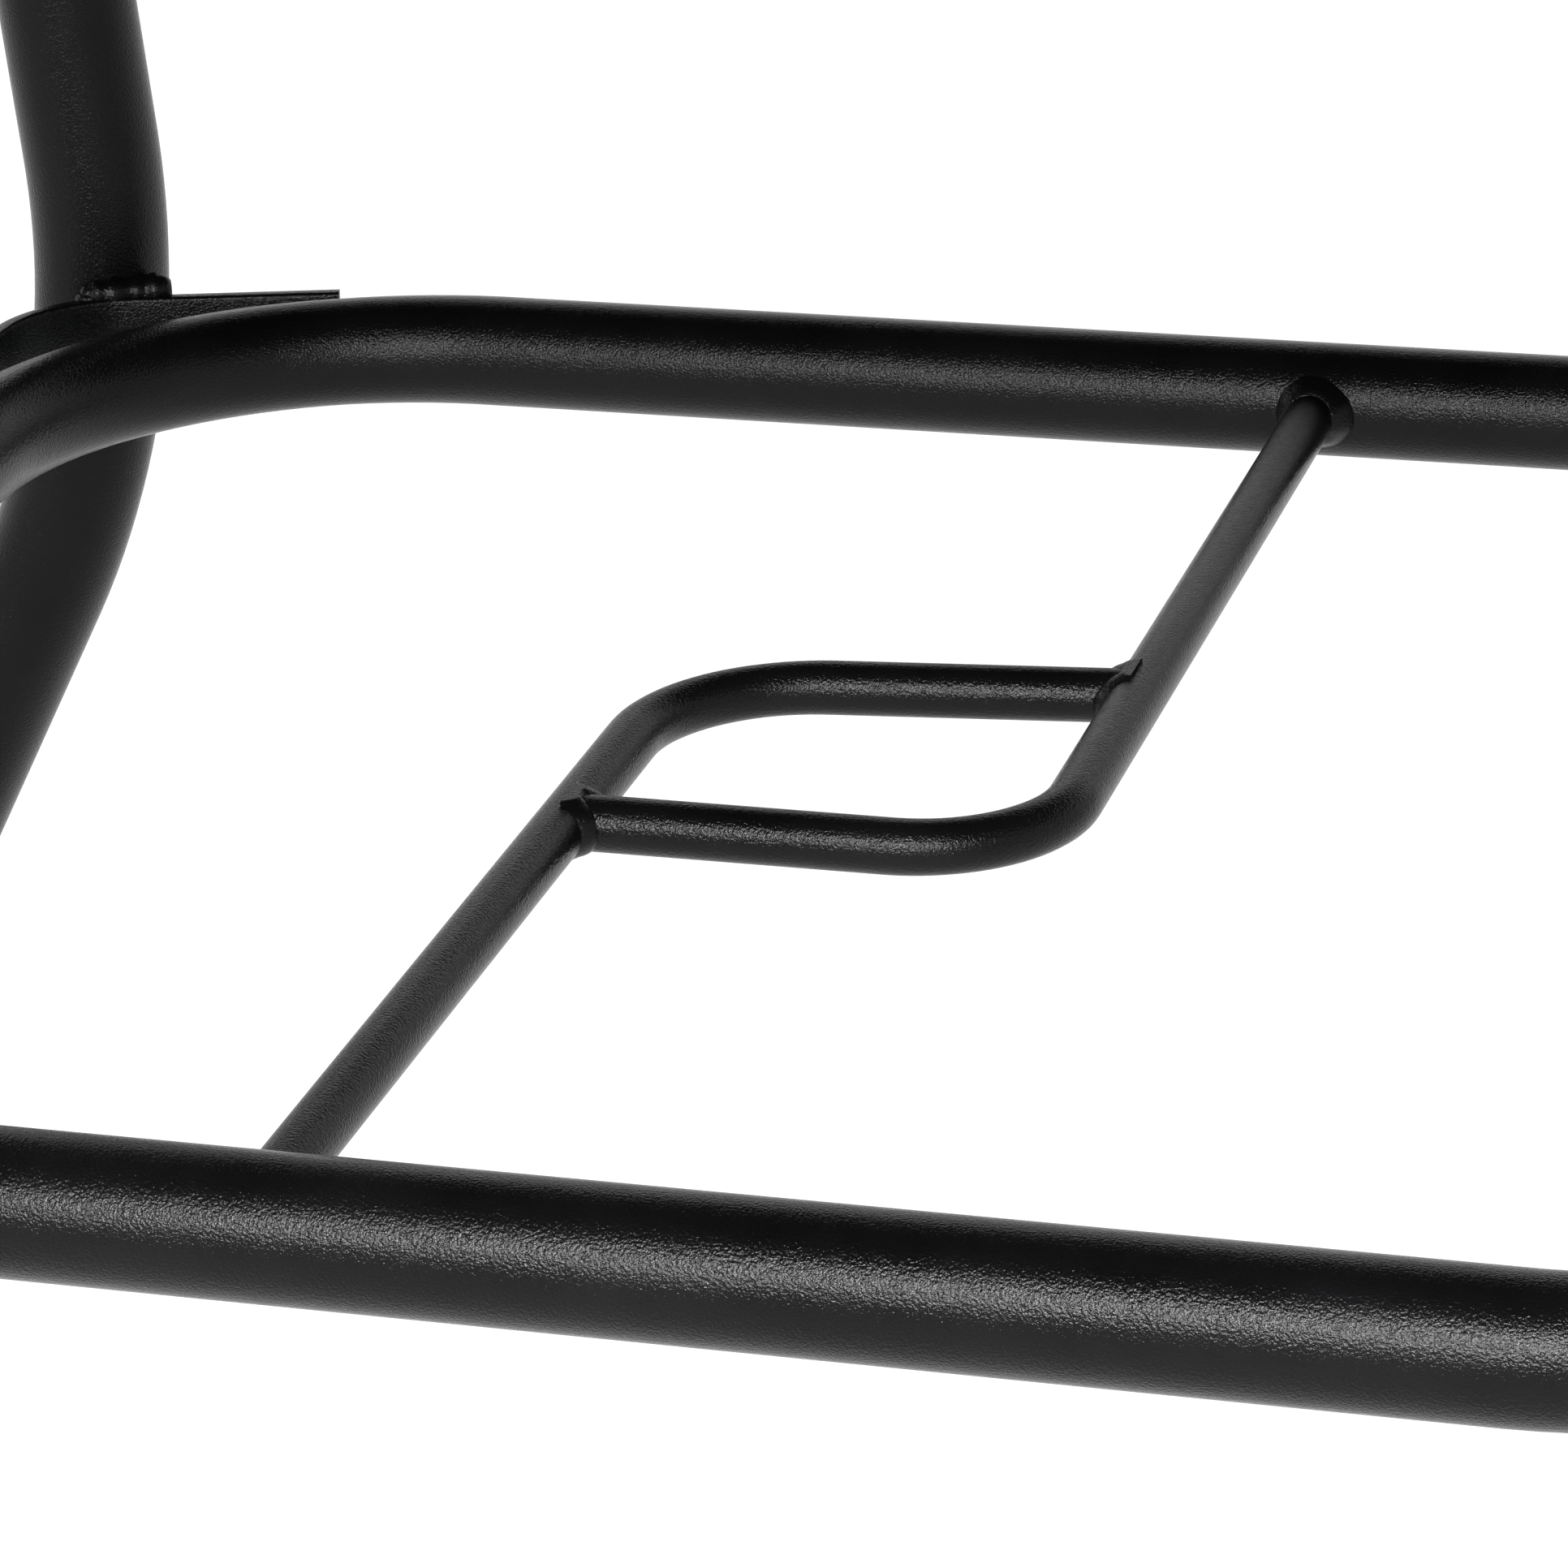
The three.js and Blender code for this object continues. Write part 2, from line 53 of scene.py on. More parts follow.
# Sizes in millimetres, as in the CAD source.
LEG_R = 12.7
RAIL_R = 10.0
ROD_R = 4.3
FLAT_HEIGHT = 16.0
FLAT_THICK = 3.0
SHELF_Z = 150.0
SHELF_HALF_X = 197.0
SHELF_HALF_Y = 180.0
SHELF_CORNER_R = 74.0
EYE_X = -6.0
ROD_SPREAD = 36.3
FRONT_ROD_X = EYE_X - ROD_SPREAD
BACK_ROD_X = EYE_X + ROD_SPREAD
FRONT_ROD_END_Y = 29.4
FRONT_ROD_BEND_R = 28.0
FRONT_ROD_TILT = math.radians(6.6)
BACK_ROD_END_Y = -38.0
BACK_ROD_BEND_R = 23.0
TOP_Z = SHELF_Z + 404.0
LEG_Y = 186.7
BOW_X = SHELF_HALF_X + 5.4
BOW_Z = SHELF_Z + 18.0
BOW_R = 160.0
LEAN_ABOVE = math.radians(5.7)
LEAN_BELOW = math.radians(27)
TOP_BEND_R = 50.0
LEG_END_Z = 10.0
FOOT_R = 16.0
CRADLE_X = SHELF_HALF_X + RAIL_R + 1.0
CRADLE_BEND_R = 22.0
ARM_ANGLE = math.radians(16)
CRADLE_HALF_BEND = (math.pi / 2 - ARM_ANGLE) / 2
ARM_TIP_CLEAR = 0.6
ARM_TIP_X = SHELF_HALF_X - 42.0
LEAF_RAIL_Y = 134.0
LEAF_CORNER_R = 40.0
LEAF_BUTT_X = 10.4
PIVOT_X = 213.0
LEAF_END_X = PIVOT_X + 6.0
MID_PIVOT_Z = TOP_Z - 15.0
LUG_INNER_Y = 118.4
LUG_OUTER_Y = 123.4
WEB_WIDTH = 50.0
WEB_CENTRES = (86.0, 161.0)

# Where each leaf's two knuckle welds lie along Y.
KNUCKLE_SPANS = ((46.0, 59.7), (-74.0, -60.3))

# Rivets, each as shank radius, head radius and head height.
PIVOT_PIN = (3.0, 5.5, 1.9)
MID_PIN = (2.5, 4.2, 1.4)
MID_PIN_Y = 60.0
MID_PIN_HALF_LENGTH = 14.3

UP = Vector((0, 0, 1))
HALF_TURN = Matrix.Rotation(math.pi, 4, "Z")
SAME = Matrix.Identity(4)


# ---------------------------------------------------------------- materials

def material(name):
    """A new node material, its node tree and its main shader."""
    made = bpy.data.materials.new(name)
    made.use_nodes = True
    tree = made.node_tree
    return made, tree, tree.nodes["Principled BSDF"]


def node(tree, kind, **values):
    made = tree.nodes.new(kind)
    for key, value in values.items():
        if key in made.inputs:
            made.inputs[key].default_value = value
        else:
            setattr(made, key, value)
    return made


def noise(tree, scale, detail=2.0, rough=0.5, stretch=(1, 1, 1)):
    coords = node(tree, "ShaderNodeTexCoord")
    mapping = node(tree, "ShaderNodeMapping", Scale=stretch)
    tree.links.new(coords.outputs["Object"], mapping.inputs["Vector"])
    made = node(tree, "ShaderNodeTexNoise", Scale=scale, Detail=detail, Roughness=rough)
    tree.links.new(mapping.outputs["Vector"], made.inputs["Vector"])
    return made


def ramp(tree, source, low, high, start=0.0, end=1.0):
    made = node(tree, "ShaderNodeValToRGB")
    made.color_ramp.elements[0].position = start
    made.color_ramp.elements[0].color = low
    made.color_ramp.elements[1].position = end
    made.color_ramp.elements[1].color = high
    tree.links.new(source, made.inputs["Fac"])
    return made


def bump(tree, height, strength, distance, under=None):
    made = node(tree, "ShaderNodeBump", Strength=strength, Distance=distance)
    tree.links.new(height, made.inputs["Height"])
    if under is not None:
        tree.links.new(under.outputs["Normal"], made.inputs["Normal"])
    return made


def grey(value, tint=1.0):
    return (value, value, value * tint, 1.0)


def powder_coat():
    """Black powder coat: a fine leathery orange peel over a satin film."""
    made, tree, shader = material("black_powder_coat")
    peel = noise(tree, 2300.0, 2.0, 0.55)
    pits = noise(tree, 5200.0, 1.0, 0.5)
    cloud = noise(tree, 45.0, 3.0, 0.6)
    colour = ramp(tree, cloud.outputs["Fac"], grey(0.0012), grey(0.0024, 1.1), 0.3, 0.7)
    tree.links.new(colour.outputs["Color"], shader.inputs["Base Color"])
    gloss = ramp(tree, cloud.outputs["Fac"], grey(0.19), grey(0.25), 0.3, 0.7)
    tree.links.new(gloss.outputs["Color"], shader.inputs["Roughness"])
    shader.inputs["Specular IOR Level"].default_value = 0.13
    fine = bump(tree, pits.outputs["Fac"], 0.25, 0.0001)
    coarse = bump(tree, peel.outputs["Fac"], 0.62, 0.00026, fine)
    tree.links.new(coarse.outputs["Normal"], shader.inputs["Normal"])
    return made


def zinc():
    """Bright zinc plate, rubbed a little along its length."""
    made, tree, shader = material("zinc_plate")
    cloud = noise(tree, 160.0, 4.0, 0.6)
    rub = noise(tree, 900.0, 2.0, 0.6, (1, 0.06, 1))
    colour = ramp(tree, cloud.outputs["Fac"], grey(0.34, 1.05), grey(0.55, 1.03), 0.3, 0.7)
    tree.links.new(colour.outputs["Color"], shader.inputs["Base Color"])
    gloss = ramp(tree, rub.outputs["Fac"], grey(0.25), grey(0.45), 0.3, 0.7)
    tree.links.new(gloss.outputs["Color"], shader.inputs["Roughness"])
    shader.inputs["Metallic"].default_value = 0.95
    scratch = bump(tree, rub.outputs["Fac"], 0.15, 0.0001)
    tree.links.new(scratch.outputs["Normal"], shader.inputs["Normal"])
    return made


def rubber():
    """Moulded black rubber: matt, with a fine sparked texture and a dusty bloom."""
    made, tree, shader = material("moulded_rubber")
    spark = noise(tree, 1500.0, 3.0, 0.7)
    dust = noise(tree, 60.0, 5.0, 0.65)
    colour = ramp(tree, dust.outputs["Fac"], grey(0.007), grey(0.016, 0.98), 0.35, 0.75)
    tree.links.new(colour.outputs["Color"], shader.inputs["Base Color"])
    gloss = ramp(tree, dust.outputs["Fac"], grey(0.66), grey(0.84), 0.3, 0.7)
    tree.links.new(gloss.outputs["Color"], shader.inputs["Roughness"])
    shader.inputs["Specular IOR Level"].default_value = 0.25
    texture = bump(tree, spark.outputs["Fac"], 0.3, 0.0002)
    tree.links.new(texture.outputs["Normal"], shader.inputs["Normal"])
    return made


def webbing_cloth():
    """Woven polyester: crossing ribs of yarn with a little sheen."""
    made, tree, shader = material("woven_webbing")
    coords = node(tree, "ShaderNodeTexCoord")
    waves = []
    for direction in ("X", "Y"):
        wave = node(tree, "ShaderNodeTexWave", bands_direction=direction, Scale=240.0)
        tree.links.new(coords.outputs["Object"], wave.inputs["Vector"])
        waves.append(wave)
    weave = node(tree, "ShaderNodeMath", operation="MULTIPLY")
    tree.links.new(waves[0].outputs["Fac"], weave.inputs[0])
    tree.links.new(waves[1].outputs["Fac"], weave.inputs[1])
    fibre = noise(tree, 1400.0, 3.0, 0.6)
    colour = ramp(tree, weave.outputs["Value"], grey(0.012), grey(0.042, 1.05), 0.05, 0.9)
    tree.links.new(colour.outputs["Color"], shader.inputs["Base Color"])
    shader.inputs["Roughness"].default_value = 0.82
    shader.inputs["Sheen Weight"].default_value = 0.25
    under = bump(tree, fibre.outputs["Fac"], 0.25, 0.0002)
    ribs = bump(tree, weave.outputs["Value"], 0.7, 0.0006, under)
    tree.links.new(ribs.outputs["Normal"], shader.inputs["Normal"])
    return made


def thread():
    """Bonded sewing thread, with its twist."""
    made, tree, shader = material("sewing_thread")
    twist = noise(tree, 2200.0, 2.0, 0.5)
    colour = ramp(tree, twist.outputs["Fac"], grey(0.05, 1.04), grey(0.12, 1.04), 0.3, 0.7)
    tree.links.new(colour.outputs["Color"], shader.inputs["Base Color"])
    shader.inputs["Roughness"].default_value = 0.55
    ply = bump(tree, twist.outputs["Fac"], 0.3, 0.0001)
    tree.links.new(ply.outputs["Normal"], shader.inputs["Normal"])
    return made


COAT = powder_coat()
ZINC = zinc()
RUBBER = rubber()
WEBBING = webbing_cloth()
THREAD = thread()


# ---------------------------------------------------------------- making pieces

def add_piece(name, verts, faces, finish, body, replaced=(), turn=SAME):
    """A mesh piece from millimetre points. turn places the pieces of the turned left end."""
    mesh = bpy.data.meshes.new(name)
    mesh.from_pydata([turn @ (Vector(v) * MM) for v in verts], [], faces)
    bm = bmesh.new()
    bm.from_mesh(mesh)
    bmesh.ops.recalc_face_normals(bm, faces=bm.faces)
    bm.to_mesh(mesh)
    bm.free()
    mesh.shade_smooth()
    mesh.set_sharp_from_angle(angle=math.radians(38))
    piece = bpy.data.objects.new(name, mesh)
    bpy.context.scene.collection.objects.link(piece)
    mesh.materials.append(finish)
    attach(piece, body)
    if replaced:
        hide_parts(*replaced)
    return piece


def bend(before, corner, after, radius, steps):
    """Stations round a bent corner: point, direction and how deep in the bend it is."""
    arriving = (corner - before).normalized()
    leaving = (after - corner).normalized()
    angle = arriving.angle(leaving)
    axis = arriving.cross(leaving).normalized()
    start = corner - arriving * radius * math.tan(angle / 2)
    centre = start + axis.cross(arriving) * radius
    made = []
    for i in range(steps + 1):
        turned = Quaternion(axis, angle * i / steps)
        depth = min(1.0, 4.0 * min(i, steps - i) / steps)
        made.append((centre + turned @ (start - centre), turned @ arriving, depth))
    return made


def straight(start, end, gap):
    """Stations between two ends, not counting the ends."""
    length = (end - start).length
    count = int(length / gap)
    direction = (end - start).normalized()
    return [(start.lerp(end, i / count), direction, 0.0) for i in range(1, count)]


def rounded(corners, gap=30.0):
    """Stations along a path of (point, radius, steps); its two ends have no radius."""
    points = [Vector(c[0]) for c in corners]
    made = [(points[0], (points[1] - points[0]).normalized(), 0.0)]
    for i in range(1, len(corners) - 1):
        turn = bend(points[i - 1], points[i], points[i + 1], corners[i][1], corners[i][2])
        made += straight(made[-1][0], turn[0][0], gap) + turn
    last = made[-1]
    made += straight(last[0], points[-1], gap)
    made.append((points[-1], last[1], 0.0))
    return made


def skin(loops, sides, closed=False):
    """Faces that join loops of points; the two ends are capped, or joined to each other if closed."""
    faces = []
    for i in range(loops if closed else loops - 1):
        here, there = i * sides, (i + 1) % loops * sides
        for j in range(sides):
            k = (j + 1) % sides
            faces.append((here + j, here + k, there + k, there + j))
    if not closed:
        faces.append(tuple(range(sides - 1, -1, -1)))
        faces.append(tuple(range((loops - 1) * sides, loops * sides)))
    return faces


def rings(stations, outline, neck=0.0, closed=False):
    """Carries an outline of (across, up) points along the stations, kept level with Z where it can be."""
    side = None
    verts = []
    for point, direction, depth in stations:
        if side is None:
            side = direction.cross(UP)
            if side.length < 0.3:
                side = direction.cross(Vector((0, 1, 0)))
        side = (side - direction * side.dot(direction)).normalized()
        up = side.cross(direction)
        size = 1.0 - neck * depth
        verts += [point + (side * a + up * b) * size for a, b in outline]
    return verts, skin(len(stations), len(outline), closed)


def circle(radius, sides=40):
    turn = 2 * math.pi / sides
    return [(radius * math.cos(turn * i), radius * math.sin(turn * i)) for i in range(sides)]


def rounded_bar(width, height, radius, steps=3):
    """The outline of a flat bar with rounded edges."""
    made = []
    quarters = ((1, 1, 0), (-1, 1, 90), (-1, -1, 180), (1, -1, 270))
    for sx, sy, first in quarters:
        for i in range(steps + 1):
            angle = math.radians(first + 90 * i / steps)
            made.append((sx * (width / 2 - radius) + radius * math.cos(angle),
                         sy * (height / 2 - radius) + radius * math.sin(angle)))
    return made


def turned(profile, sides=40):
    """A solid of revolution about Z from (radius, height) pairs; both ends are on the axis."""
    verts, faces = [], []
    inner = profile[1:-1]
    verts.append((0, 0, profile[0][1]))
    for radius, height in inner:
        for a, b in circle(radius, sides):
            verts.append((a, b, height))
    verts.append((0, 0, profile[-1][1]))
    last = len(verts) - 1
    for j in range(sides):
        k = (j + 1) % sides
        faces.append((0, 1 + k, 1 + j))
        for i in range(len(inner) - 1):
            low, high = 1 + i * sides, 1 + (i + 1) * sides
            faces.append((low + j, low + k, high + k, high + j))
        top = 1 + (len(inner) - 1) * sides
        faces.append((top + j, top + k, last))
    return verts, faces


def placed(verts, place):
    return [place @ Vector(v) for v in verts]


def joined(parts):
    """Several (verts, faces) as one."""
    verts, faces = [], []
    for more, these in parts:
        start = len(verts)
        verts += list(more)
        faces += [tuple(start + i for i in face) for face in these]
    return verts, faces


# ---------------------------------------------------------------- welds

# How far a fillet stands past the bars' sides, bites into the bar and sinks into the bigger bar.
FILLET_LIP = 0.5
FILLET_OVERLAP = 0.25
FILLET_SUNK = 0.2

# The share of the bigger bar's radius, above or below its axis, beyond which a fillet follows it no further.
FILLET_WIDEST = 0.985

# Where each of these welds is thickest, as an angle round the bar, and by how much.
BACK_WELD_LUMP = (math.radians(5), 0.55)
ROD_WELD_LUMP = (math.radians(60), 0.25)


def bead_on(points, radius, seed, swell=None, sides=14):
    """A weld bead along an open curve: overlapping ripples of a slightly uneven width."""
    wobble = random.Random(seed)
    phases = [wobble.uniform(0, 2 * math.pi) for _ in range(3)]
    count = len(points)
    verts = []
    centre = sum((Vector(p) for p in points), Vector()) / count
    for i in range(count):
        before = points[max(0, i - 1)]
        after = points[min(count - 1, i + 1)]
        direction = (after - before).normalized()
        side = points[i] - centre
        side = (side - direction * side.dot(direction)).normalized()
        up = side.cross(direction)
        along = i / count
        ripple = 0.03 * math.sin(2 * math.pi * along * count / 5)
        uneven = 0.08 * math.sin(2 * math.pi * along * 2 + phases[0])
        uneven += 0.05 * math.sin(2 * math.pi * along * 5 + phases[1])
        size = radius * (1 + ripple + uneven)
        if swell is not None:
            size *= swell(along)
        for j in range(sides):
            angle = 2 * math.pi * j / sides
            verts.append(points[i] + (side * math.cos(angle) + up * math.sin(angle)) * size)
    return verts, skin(count, sides)


def fillet(axis_point, run, along, bar_r, big_r, leg, seed, lump=(0.0, 0.0)):
    """The weld where a bar that leaves along run butts against a bigger or equal bar; both are level.

    Angles round the bar go from the direction along towards up. lump is the angle where the weld is
    thickest, and by how much."""
    run, along = Vector(run).normalized(), Vector(along).normalized()
    phase = random.Random(seed).uniform(0, 2 * math.pi)
    lump_at, lump_size = lump
    sides, steps = 72, 12
    loops = [[] for _ in range(steps + 1)]
    for i in range(sides):
        angle = 2 * math.pi * i / sides
        off = (angle - lump_at + math.pi) % (2 * math.pi) - math.pi
        size = leg * (1 + 0.02 * math.sin(9 * angle + phase) + 0.09 * math.sin(2 * angle + phase))
        size *= 1 + lump_size * math.exp(-(off / 0.75) ** 2)
        for j in range(steps + 1):
            # From the foot on the big bar up to the toe on the small one, bulging a little.
            climb = j / steps
            out = size * (1 - climb) ** 0.8
            rise = size * climb ** 0.8
            spread = bar_r + out - FILLET_OVERLAP
            foot_height = meeting_height(angle, spread, big_r)
            toe_height = meeting_height(angle, bar_r, big_r)
            base = foot_height + (toe_height - foot_height) * climb
            lift = math.copysign(min(abs(spread * math.sin(angle)), big_r + FILLET_LIP), math.sin(angle))
            loops[j].append(Vector(axis_point) + along * spread * math.cos(angle)
                            + UP * lift + run * (base + rise - FILLET_SUNK))
    inner = [Vector(axis_point) + (along * math.cos(2 * math.pi * i / sides)
             + UP * math.sin(2 * math.pi * i / sides)) * bar_r * 0.8 + run * big_r * 0.3
             for i in range(sides)]
    loops.append(inner)
    verts = [point for loop in loops for point in loop]
    return verts, skin(len(loops), sides, True)


def meeting_height(angle, radius, big_r):
    """How far out from the big bar's axis its surface is, at this angle and radius round the other bar."""
    level = min(abs(radius * math.sin(angle)), FILLET_WIDEST * big_r)
    return math.sqrt(big_r ** 2 - level ** 2)


def rounded_run(start, end, radius, seed, count=34):
    """A short straight bead with rounded ends."""
    start, end = Vector(start), Vector(end)

    def swell(along):
        edge = min(along, 1 - along) * (end - start).length / radius
        return math.sqrt(max(0.02, 1 - (1 - min(1.0, edge)) ** 2))

    points = [start.lerp(end, i / (count - 1)) for i in range(count)]
    direction = (end - start).normalized()
    side = direction.orthogonal().normalized()
    # A hair's bow, so that bead_on can tell which way is out.
    bowed = [p + side * 0.01 * math.sin(math.pi * i / (count - 1)) for i, p in enumerate(points)]
    return bead_on(bowed, radius, seed, swell)


# ---------------------------------------------------------------- shelf

def closed_rectangle(half_x, half_y, z, radius, steps):
    corners = [Vector(c) for c in (
        (half_x, -half_y, z), (half_x, half_y, z), (-half_x, half_y, z), (-half_x, -half_y, z))]
    made = []
    for i in range(4):
        turn = bend(corners[i - 1], corners[i], corners[(i + 1) % 4], radius, steps)
        if made:
            made += straight(made[-1][0], turn[0][0], 30.0)
        made += turn
    return made + straight(made[-1][0], made[0][0], 30.0)


def shelf():
    stations = closed_rectangle(SHELF_HALF_X, SHELF_HALF_Y, SHELF_Z, SHELF_CORNER_R, 28)
    verts, faces = rings(stations, circle(RAIL_R, 56), 0.025, True)
    add_piece("shelf_rail_loop", verts, faces, COAT, "shelf", ["shelf_frame"])
    rise = 2 * ROD_SPREAD * math.tan(FRONT_ROD_TILT)
    sunk = 3.0
    front = rounded([
        ((FRONT_ROD_X, -SHELF_HALF_Y + RAIL_R - sunk, SHELF_Z),),
        ((FRONT_ROD_X, FRONT_ROD_END_Y - rise, SHELF_Z), FRONT_ROD_BEND_R, 22),
        ((BACK_ROD_X - 1.5, FRONT_ROD_END_Y, SHELF_Z),),
    ], 12.0)
    back = rounded([
        ((BACK_ROD_X, SHELF_HALF_Y - RAIL_R + sunk, SHELF_Z),),
        ((BACK_ROD_X, BACK_ROD_END_Y, SHELF_Z), BACK_ROD_BEND_R, 22),
        ((FRONT_ROD_X + 1.5, BACK_ROD_END_Y, SHELF_Z),),
    ], 12.0)
    for name, path in (("front", front), ("back", back)):
        verts, faces = rings(path, circle(ROD_R, 36), 0.02)
        add_piece(f"bent_rod_{name}", verts, faces, COAT, "shelf", [f"shelf_rod_{name}"])
    tilt = math.tan(FRONT_ROD_TILT)
    welds = {
        "front_rail": fillet((FRONT_ROD_X, -SHELF_HALF_Y, SHELF_Z), (0, 1, 0), (1, 0, 0),
                             ROD_R, RAIL_R, 2.4, 3),
        "back_rail": fillet((BACK_ROD_X, SHELF_HALF_Y, SHELF_Z), (0, -1, 0), (1, 0, 0),
                            ROD_R, RAIL_R, 2.5, 5, BACK_WELD_LUMP),
        "front_rod_end": fillet((BACK_ROD_X, FRONT_ROD_END_Y, SHELF_Z), (-1, -tilt, 0), (0, 1, 0),
                                ROD_R, ROD_R, 2.1, 8, ROD_WELD_LUMP),
        "back_rod_end": fillet((FRONT_ROD_X, BACK_ROD_END_Y, SHELF_Z), (1, 0, 0), (0, -1, 0),
                               ROD_R, ROD_R, 2.1, 11, ROD_WELD_LUMP),
    }
    for name, (verts, faces) in welds.items():
        add_piece(f"shelf_weld_{name}", verts, faces, COAT, "shelf")


# ---------------------------------------------------------------- end frames

def leg_points():
    """Where the leg's two straight lines meet, the top rail's X and the leg end's X."""
    up = Vector((math.sin(LEAN_ABOVE), 0, math.cos(LEAN_ABOVE)))
    top_of_bow = Vector((BOW_X + BOW_R - BOW_R * math.cos(LEAN_ABOVE), 0,
                         BOW_Z + BOW_R * math.sin(LEAN_ABOVE)))
    corner = top_of_bow - up * BOW_R * math.tan((LEAN_ABOVE + LEAN_BELOW) / 2)
    top_x = corner.x + (TOP_Z - corner.z) * math.tan(LEAN_ABOVE)
    end_x = corner.x + (corner.z - LEG_END_Z) * math.tan(LEAN_BELOW)
    return corner, top_x, end_x


BOW_CORNER, TOP_RAIL_X, LEG_END_X = leg_points()


def side_name(end, side):
    return "back" if (side > 0) == (end == "right") else "front"


def end_tube(end, turn):
    x, z = BOW_CORNER.x, BOW_CORNER.z
    path = rounded([
        ((LEG_END_X, -LEG_Y, LEG_END_Z),),
        ((x, -LEG_Y, z), BOW_R, 22),
        ((TOP_RAIL_X, -LEG_Y, TOP_Z), TOP_BEND_R, 26),
        ((TOP_RAIL_X, LEG_Y, TOP_Z), TOP_BEND_R, 26),
        ((x, LEG_Y, z), BOW_R, 22),
        ((LEG_END_X, LEG_Y, LEG_END_Z),),
    ])
    verts, faces = rings(path, circle(LEG_R, 60), 0.012)
    add_piece(f"{end}_bowed_tube", verts, faces, COAT, f"{end}_frame", [f"{end}_end_tube"], turn)


def cradle_path():
    corner_x = SHELF_HALF_X - SHELF_CORNER_R
    corner_y = SHELF_HALF_Y - SHELF_CORNER_R
    reach = SHELF_CORNER_R + RAIL_R + ARM_TIP_CLEAR
    tip_y = corner_y + math.sqrt(reach ** 2 - (ARM_TIP_X - corner_x) ** 2)
    bend_y = tip_y - (CRADLE_X - ARM_TIP_X) * math.tan(ARM_ANGLE)
    return tip_y, bend_y


def cradle(end, turn):
    tip_y, bend_y = cradle_path()
    middle = FLAT_THICK / 2
    shift = Vector((math.sin(ARM_ANGLE), math.cos(ARM_ANGLE), 0)) * middle
    drop = math.tan(CRADLE_HALF_BEND) * middle
    path = rounded([
        ((ARM_TIP_X + shift.x, -tip_y - shift.y, SHELF_Z),),
        ((CRADLE_X + middle, -bend_y - drop, SHELF_Z), CRADLE_BEND_R + middle, 20),
        ((CRADLE_X + middle, bend_y + drop, SHELF_Z), CRADLE_BEND_R + middle, 20),
        ((ARM_TIP_X + shift.x, tip_y + shift.y, SHELF_Z),),
    ])
    verts, faces = rings(path, rounded_bar(FLAT_THICK, FLAT_HEIGHT, 0.7))
    add_piece(f"{end}_flat_cradle", verts, faces, COAT, f"{end}_frame",
              [f"{end}_cradle_strap"], turn)


def leg_welds(end, turn):
    """Two upright beads and one across their tops, where each leg meets the bend of the cradle."""
    _, bend_y = cradle_path()
    centre = Vector((CRADLE_X - CRADLE_BEND_R, bend_y - CRADLE_BEND_R * math.tan(CRADLE_HALF_BEND), 0))
    leg = Vector((BOW_X, LEG_Y, 0))
    out = (leg - centre).normalized()
    across = Vector((-out.y, out.x, 0))
    face = centre + out * (CRADLE_BEND_R + FLAT_THICK)
    for side in (-1, 1):
        parts, tops = [], []
        for step, reach in ((-1, 3.6), (1, 6.6)):
            at = face + across * step * reach + out * 0.4
            at = Vector((at.x, side * at.y, 0))
            low, high = FLAT_HEIGHT / 2 - 1, FLAT_HEIGHT / 2 + 1.2
            parts.append(rounded_run(at + UP * (SHELF_Z - low), at + UP * (SHELF_Z + high),
                                     2.9, 20 + step + 3 * side))
            tops.append(at + UP * (SHELF_Z + FLAT_HEIGHT / 2 + 0.3))
        along = (tops[1] - tops[0]).normalized()
        parts.append(rounded_run(tops[0] - along * 2.0, tops[1] + along * 5.0, 3.0, 31 + side))
        verts, faces = joined(parts)
        place = side_name(end, side)
        add_piece(f"{end}_{place}_leg_weld", verts, faces, COAT, f"{end}_frame", (), turn)


def foot(end, side, turn):
    """A ribbed rubber tip, cut level with the floor."""
    socket = LEG_R + 0.1
    profile = [(0, -30), (FOOT_R, -30), (FOOT_R, 6), (FOOT_R - 0.2, 7.2), (FOOT_R - 1.0, 7.8),
               (FOOT_R - 1.0, 9.4), (FOOT_R - 0.3, 10.0), (FOOT_R - 0.5, 13.0), (FOOT_R - 1.3, 13.6),
               (FOOT_R - 1.3, 15.2), (FOOT_R - 0.7, 15.8), (FOOT_R - 1.2, 19.6), (FOOT_R - 2.0, 20.8),
               (FOOT_R - 2.8, 21.0), (socket, 20.4), (socket, 0), (0, 0)]
    verts, faces = turned(profile, 56)
    up = Vector((-math.sin(LEAN_BELOW), 0, math.cos(LEAN_BELOW)))
    lean = UP.rotation_difference(up).to_matrix().to_4x4()
    place = Matrix.Translation((LEG_END_X, side * LEG_Y, LEG_END_Z)) @ lean
    verts = placed(verts, place)
    mesh = bpy.data.meshes.new("foot_blank")
    mesh.from_pydata(verts, [], faces)
    bm = bmesh.new()
    bm.from_mesh(mesh)
    cut = bmesh.ops.bisect_plane(bm, geom=bm.verts[:] + bm.edges[:] + bm.faces[:],
                                 plane_co=(0, 0, 0), plane_no=(0, 0, 1), clear_inner=True)
    rim = [e for e in cut["geom_cut"] if isinstance(e, bmesh.types.BMEdge)]
    bmesh.ops.holes_fill(bm, edges=rim)
    bm.verts.index_update()
    verts = [v.co.copy() for v in bm.verts]
    faces = [[v.index for v in f.verts] for f in bm.faces]
    bm.free()
    bpy.data.meshes.remove(mesh)
    name = f"{end}_{side_name(end, side)}_foot"
    add_piece(f"{name}_tip", verts, faces, RUBBER, f"{end}_frame", [name], turn)


